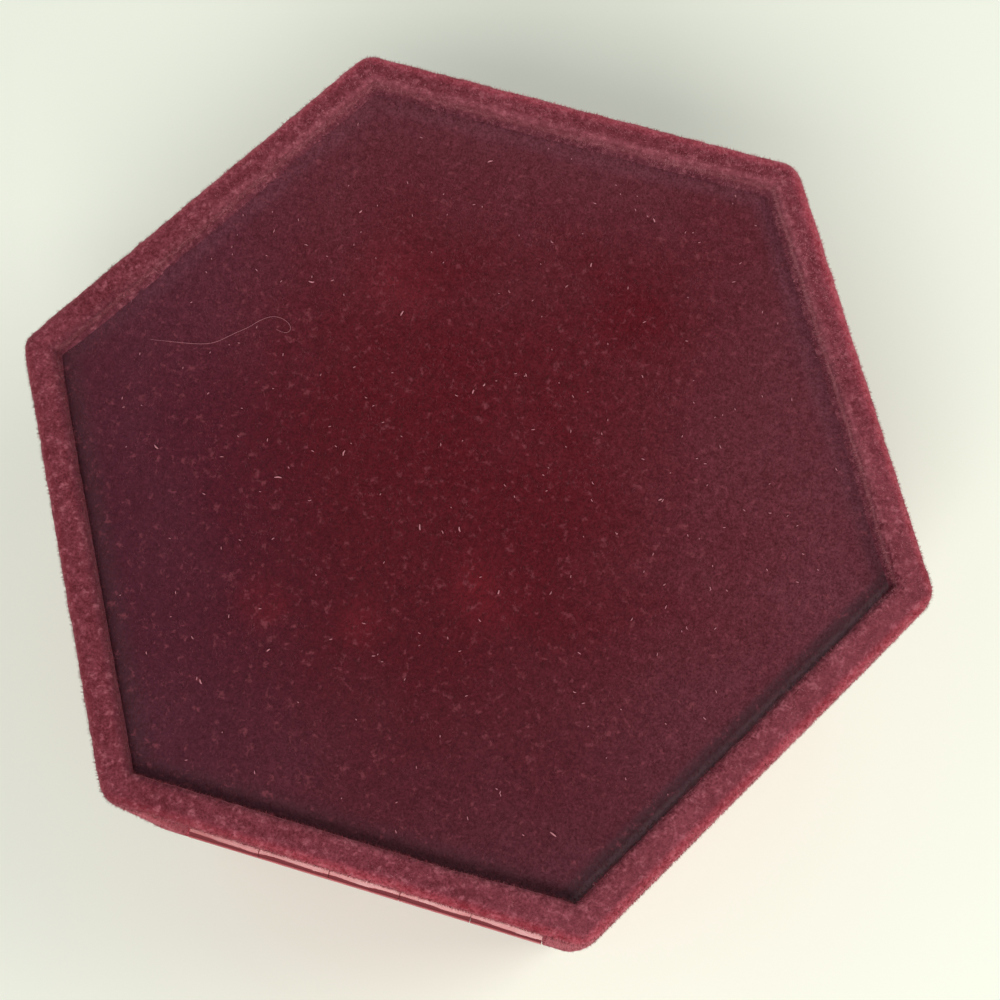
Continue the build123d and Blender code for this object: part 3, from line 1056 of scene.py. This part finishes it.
def flange(above):
    """Flat part of a leaf on the inner face of the back wall, with its rivet holes."""
    low, high = (LEAF_GAP, LEAF_HEIGHT) if above > 0 else (-LEAF_HEIGHT, -LEAF_GAP)
    rounding = 0.05 * MM
    plate = bpy.data.curves.new("plate", "CURVE")
    plate.dimensions = "2D"
    plate.fill_mode = "BOTH"
    plate.extrude = LEAF / 2 - rounding
    plate.bevel_depth = rounding
    outlines = [[(-LEAF_HALF, low), (LEAF_HALF, low), (LEAF_HALF, high), (-LEAF_HALF, high)]]
    for hole in range(RIVETS):
        centre = ((2 * hole + 1 - RIVETS) * LEAF_HALF / RIVETS, above * RIVET_HEIGHT)
        outlines.append(arc(centre, RIVET_HOLE, 0, 360, 28))
    for outline in outlines:
        middle = np.mean(outline, axis=0)
        grow = -rounding if len(outline) == 4 else rounding
        spline = plate.splines.new("POLY")
        spline.points.add(len(outline) - 1)
        for point, place in zip(spline.points, np.asarray(outline)):
            away = place - middle
            shifted = place + grow * (np.sign(away) if len(outline) == 4 else away / np.linalg.norm(away))
            point.co = (*shifted, 0, 1)
        spline.use_cyclic_u = True
    piece = added("plate", plate)
    mesh = bpy.data.meshes.new_from_object(piece.evaluated_get(bpy.context.evaluated_depsgraph_get()))
    flat = np.array([vertex.co for vertex in mesh.vertices])
    faces = [tuple(polygon.vertices) for polygon in mesh.polygons]
    bpy.data.objects.remove(piece)
    points = np.column_stack([flat[:, 0], CAVITY_REACH + LEAF / 2 - flat[:, 2], PARTING + flat[:, 1]])
    return points, faces


def rolled_leaf(name, body, node, first, above):
    """One half of the hinge."""
    pitch = 2 * LEAF_HALF / KNUCKLES
    parts = [flange(above)]
    for number in range(first, KNUCKLES, 2):
        start = number * pitch - LEAF_HALF + KNUCKLE_GAP / 2
        parts.append(knuckle(start, start + pitch - KNUCKLE_GAP, above))
    piece = mesh_object(name, *joined(parts), [hinge_enamel])
    piece.data.set_sharp_from_angle(angle=math.radians(50))
    return fit(piece, body, "hinge_enamel", node)


rolled_leaf("rolled_leaf_base", "base", "hinge_leaf_base", 0, -1)
rolled_leaf("rolled_leaf_lid", "lid", "hinge_leaf_lid", 1, 1)


def hinge_wire():
    """The hinge's pin: drawn wire with domed ends."""
    around = np.linspace(0, 2 * math.pi, PIN_SIDES, endpoint=False)
    dome = [
        (LEAF_HALF - 0.25 * MM * (1 - math.sin(turn)), PIN_RADIUS * math.cos(turn))
        for turn in np.linspace(0, 1.35, 7)
    ]
    profile = [(-along, radius) for along, radius in reversed(dome)] + dome
    points = np.array([
        (along, AXIS_Y + radius * math.cos(turn), PARTING + radius * math.sin(turn))
        for along, radius in profile for turn in around
    ])
    last = len(points) - PIN_SIDES
    faces = torus_faces(len(profile), PIN_SIDES)[:last, ::-1].tolist()
    faces += [list(range(PIN_SIDES)), list(range(len(points) - 1, last - 1, -1))]
    return fit(mesh_object("hinge_wire", points, faces, [pin_steel]), "base", "pin_steel", "hinge_pin")


hinge_wire()


# Pile: single fibres that stand out of the velvet
def scatter(points, faces, weight, count, seed):
    """Random places on a mesh of quads, more of them where the weight is more, and the way out at each."""
    rng = np.random.default_rng(seed)
    corners = points[faces]
    across = np.cross(corners[:, 2] - corners[:, 0], corners[:, 3] - corners[:, 1])
    area = np.linalg.norm(across, axis=1) * weight(corners.mean(axis=1))
    chosen = rng.choice(len(faces), size=count, p=area / area.sum())
    u, v = rng.random((2, count, 1))
    a, b, c, d = corners[chosen].transpose(1, 0, 2)
    places = a * (1 - u) * (1 - v) + b * u * (1 - v) + c * u * v + d * (1 - u) * v
    return places, unit(across[chosen])


def fibres(name, body, places, outward, nap, length, loose, tones, shares, seed, light_and_dust=0.0, clumped=0.5):
    """Pile on a surface: closed three-sided spikes that lean along the nap, in three tones.

    The last tone, the lightest, takes more of the places where light_and_dust is high: painted light, and on
    the panel dust too."""
    rng = np.random.default_rng(seed)
    count = len(places)
    way = unit(outward + nap + rng.normal(0, loose, (count, 3)))
    side = unit(np.cross(way, rng.normal(0, 1, (count, 3))))
    other = np.cross(way, side)
    size = length[0] + (length[1] - length[0]) * rng.random((count, 1))
    root = places - way * FIBRE_ROOT
    spikes = np.empty((count, 4, 3))
    for corner in range(3):
        angle = 2 * SIXTH * corner
        spikes[:, corner] = root + FIBRE_WIDTH / 2 * (math.cos(angle) * side + math.sin(angle) * other)
    spikes[:, 3] = root + way * size
    spike = np.array([(0, 1, 3), (1, 2, 3), (2, 0, 3), (2, 1, 0)])
    faces = (np.arange(count)[:, None, None] * 4 + spike).reshape(-1, 3)
    clumps = ripple(places, 2.4 * MM, seed) + ripple(places, 0.9 * MM, seed + 1)
    shade = rng.random(count) + clumped * clumps + light_and_dust
    limits = np.quantile(shade, np.cumsum(shares)[:2])
    tone = np.digitize(shade, limits).repeat(4)
    piece = mesh_object(name, spikes.reshape(-1, 3), faces, tones, tone, smooth_shaded=False)
    return fit(piece, body, "velvet")


def swirl(places, strength, seed):
    """Slowly changing sideways lean, as where fingers have brushed the nap."""
    return strength * np.column_stack([ripple(places, 6 * MM, seed + step) for step in range(3)])


def on_rim(places):
    """The rim, over the top of its outer wall."""
    return smooth((places[:, 2] - (RIM_TOP - 2.6 * MM)) / MM)


def on_wall(places):
    """Away from the parting line, the foot's underside and the bevels that meet when the lid is open."""
    from_parting = np.abs(places[:, 2] - PARTING)
    from_slot = np.abs(np.abs(places[:, 0]) - SLOT_HALF)
    clear = (from_parting > 0.7 * MM) & ((places[:, 1] < EAR_APEX - 0.6 * MM) | (from_parting > 3 * MM))
    clear &= (from_slot > 0.6 * MM) | (from_parting > 2.4 * MM) | (places[:, 1] < 0)
    outside = reach_of(places) > RIM_REACH - 1.2 * MM
    return clear * outside * (places[:, 2] > base_low.z + 0.2 * MM) * (1 - on_rim(places))


rim_places, rim_out = scatter(lid_points, lid_faces, on_rim, FIBRES, 101)
# painted light: rose fibres are more common towards -X and -Y, the side of the side window
fibres(
    "rim_pile", "lid", rim_places, rim_out, swirl(rim_places, 0.5, 111), (0.24 * MM, 0.5 * MM), 0.4,
    rim_tones, (0.38, 0.36, 0.26), 102, light_and_dust=rim_places[:, :2] @ [-0.28, -0.42] / (45 * MM), clumped=0.45,
)
for name, body, points, faces, seed in (
    ("lid_wall_pile", "lid", lid_points, lid_faces, 121),
    ("base_wall_pile", "base", base_points, base_faces, 141),
):
    places, outward = scatter(points, faces, on_wall, FIBRES, seed)
    fibres(
        name, body, places, outward, swirl(places, 0.5, seed + 1) - [0, 0, 0.5], (0.24 * MM, 0.44 * MM), 0.3,
        rim_tones, (0.4, 0.42, 0.18), seed + 4,
    )


def panel_fibres(name, seed):
    """Fibres of the top panel, combed towards the front."""
    rng = np.random.default_rng(seed)
    spots = rng.uniform(-1, 1, (FIBRES * 2, 2)) * [PANEL_REACH / math.cos(SIXTH / 2), PANEL_REACH]
    spots = spots[reach_of(spots) < PANEL_REACH - 0.25 * MM][:FIBRES]
    places = np.column_stack([spots, panel_height(spots)])
    outward = np.tile([0.0, 0.0, 1.0], (len(places), 1))
    nap = np.array([0.25, -0.95, 0.0]) + swirl(places, 0.6, seed + 1)
    x, y = spots.T / (40 * MM)
    rim_side = smooth((reach_of(places) - 14 * MM) / (26 * MM))
    # dust and painted sheen: rose fibres are more common towards the rim and by side, as in the panel's tone
    fibres(
        name, "lid", places, outward, nap, (0.22 * MM, 0.5 * MM), 0.35, panel_tones, (0.36, 0.46, 0.18),
        seed + 5, light_and_dust=0.4 * rim_side + 0.3 * np.clip(0.6 * x - y, -1, 1) - 0.2 * x,
    )


panel_fibres("panel_pile_first", 161)
panel_fibres("panel_pile_second", 181)


# Bright lint on the top panel: x, y, turn and length, and the points of one long hair, in millimetres
LINT = [
    (-19.7, 35.1, 20, 0.75), (2.0, -8.7, 95, 0.45), (1.1, -9.8, 110, 0.35), (-1.1, 6.8, 61, 0.55),
    (8.2, -36.2, 150, 0.55), (13.6, 2.1, 93, 0.6), (3.1, 7.8, 70, 0.65), (12.4, -15.4, 104, 0.6),
    (-6.5, -27.0, 87, 0.5), (-11.9, -34.3, 50, 0.45), (23.4, -16.2, 172, 0.6), (20.4, 30.4, 50, 0.5),
    (19.7, 6.8, 167, 0.8), (14.6, 25.2, 124, 0.4), (33.7, 7.2, 30, 0.6), (-21.1, -2.5, 143, 0.4),
    (-7.1, 12.3, 87, 0.45), (20.7, -26.0, 118, 0.4),
]
HAIR = [
    (38.6, -4.5), (35.7, -5.0), (33.0, -5.5), (31.4, -6.2), (29.9, -7.7), (28.4, -9.0), (27.5, -10.2),
    (26.2, -11.1), (24.7, -11.0), (23.7, -10.2), (24.2, -9.3), (25.4, -9.6),
]


def lint():
    """Short bright fibres that lie on the pile, fainter ones strewn among them, and one fine curled hair."""
    rng = np.random.default_rng(201)
    threads = bpy.data.curves.new("lint", "CURVE")
    threads.dimensions = "3D"
    threads.bevel_depth = 1.0
    threads.bevel_resolution = 0
    threads.use_fill_caps = True
    lie = panel_high.z + 0.22 * MM
    spots = [(x * MM, y * MM, math.radians(turn), size * MM, 0.09 * MM, 0) for x, y, turn, size in LINT]
    for _ in range(260):
        x, y = rng.uniform(-1, 1, 2) * 40 * MM
        if reach_of([(x, y)])[0] < 40 * MM:
            spots.append((x, y, rng.uniform(0, math.pi), rng.uniform(0.15, 0.4) * MM, 0.05 * MM, 1))
    routes = [(np.array(HAIR) * MM, 0.018 * MM, 0)]
    for x, y, turn, size, radius, tone in spots:
        along, aside = way_out(-turn)
        bend = rng.uniform(-0.14, 0.14) * size
        shares = (-0.5, -0.17, 0.17, 0.5)
        points = [(x, y) + along * size * share + aside * bend * (1 - 4 * share**2) for share in shares]
        routes.append((points, radius, tone))
    for route, radius, tone in routes:
        spline = threads.splines.new("NURBS")
        spline.points.add(len(route) - 1)
        for point, (x, y) in zip(spline.points, route):
            point.co = (x, y, lie + rng.uniform(-0.06, 0.06) * MM, 1)
            point.radius = radius
        spline.points[0].radius = spline.points[-1].radius = radius * 0.5
        spline.order_u = 3
        spline.use_endpoint_u = True
        spline.resolution_u = 3
        spline.material_index = tone
    for tone in lint_tones:
        threads.materials.append(tone)
    return fit(added("lint", threads), "lid", "velvet")


lint()


# Kept pieces of the frame
for node, material in (
    ("base_shell", plastic), ("lid_shell", plastic), ("base_floor_card", card), ("lid_pad_card", card),
    ("lid_top_board", card), ("hinge_rivets_base", pin_steel), ("hinge_rivets_lid", pin_steel),
):
    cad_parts[node].data.materials.clear()
    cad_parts[node].data.materials.append(material)


# Floor and light
def floor():
    """Plain pale floor, which doesn't hide the underside from below."""
    side = 3.0
    corners = [(-side, -side, 0), (side, -side, 0), (side, side, 0), (-side, side, 0)]
    finish = Finish("floor", Base_Color=rgb(242, 243, 233), Roughness=0.9, Specular_IOR_Level=0.1)
    below = finish.node("ShaderNodeNewGeometry", {}, {}, "Backfacing")
    away = finish.node("ShaderNodeLightPath", {}, {}, "Ray Length")
    under_box = away.calc("LESS_THAN", away, 0.4 * MM)
    see_through = finish.node("ShaderNodeBsdfTransparent", {}, {})
    opaque = Grade(finish, finish.shader.outputs[0])
    either = finish.node("ShaderNodeMixShader", {}, {0: below.larger(under_box), 1: opaque, 2: see_through})
    finish.feed(finish.tree.nodes["Material Output"].inputs["Surface"], either)
    piece = mesh_object("floor", corners, [(0, 1, 2, 3)], [finish.material])
    piece.location.z = -0.05 * MM


def lamp(name, place, aim, size, power, colour):
    """Soft window: a rectangle as wide and as high as its size."""
    data = bpy.data.lights.new(name, "AREA")
    data.shape = "RECTANGLE"
    data.size, data.size_y = size
    data.energy = power
    data.color = colour
    piece = added(name, data)
    piece.location = place
    piece.rotation_euler = (Vector(aim) - Vector(place)).to_track_quat("-Z", "Y").to_euler()


def surroundings():
    """Pale even sky, seen white behind the object and in its glossy pieces."""
    world = bpy.data.worlds.new("surroundings")
    bpy.context.scene.world = world
    nodes = Nodes(world)
    sky = nodes.tree.nodes["Background"]
    sky.inputs["Color"].default_value = (0.87, 0.98, 0.98, 1.0)
    sky.inputs["Strength"].default_value = 0.38
    white = nodes.node("ShaderNodeBackground", {}, {"Color": (0.98, 0.98, 0.96, 1.0)})
    seen, glossy, through = (
        nodes.node("ShaderNodeLightPath", {}, {}, f"Is {kind} Ray")
        for kind in ("Camera", "Glossy", "Transmission")
    )
    in_view = seen.larger(glossy).larger(through)
    either = nodes.node("ShaderNodeMixShader", {}, {0: in_view, 1: Grade(nodes, sky.outputs[0]), 2: white})
    nodes.feed(nodes.tree.nodes["World Output"].inputs["Surface"], either)


floor()
surroundings()
lamp("window", (-0.07, 0.50, 0.66), (0, 0, 0.03), (0.5, 0.3), 4.6, (0.98, 0.98, 0.92))
lamp("side_window", (-0.62, -0.36, 0.66), (0, 0, 0.03), (0.5, 0.5), 3.4, (0.98, 0.98, 0.88))
bpy.context.scene.view_settings.view_transform = "Standard"
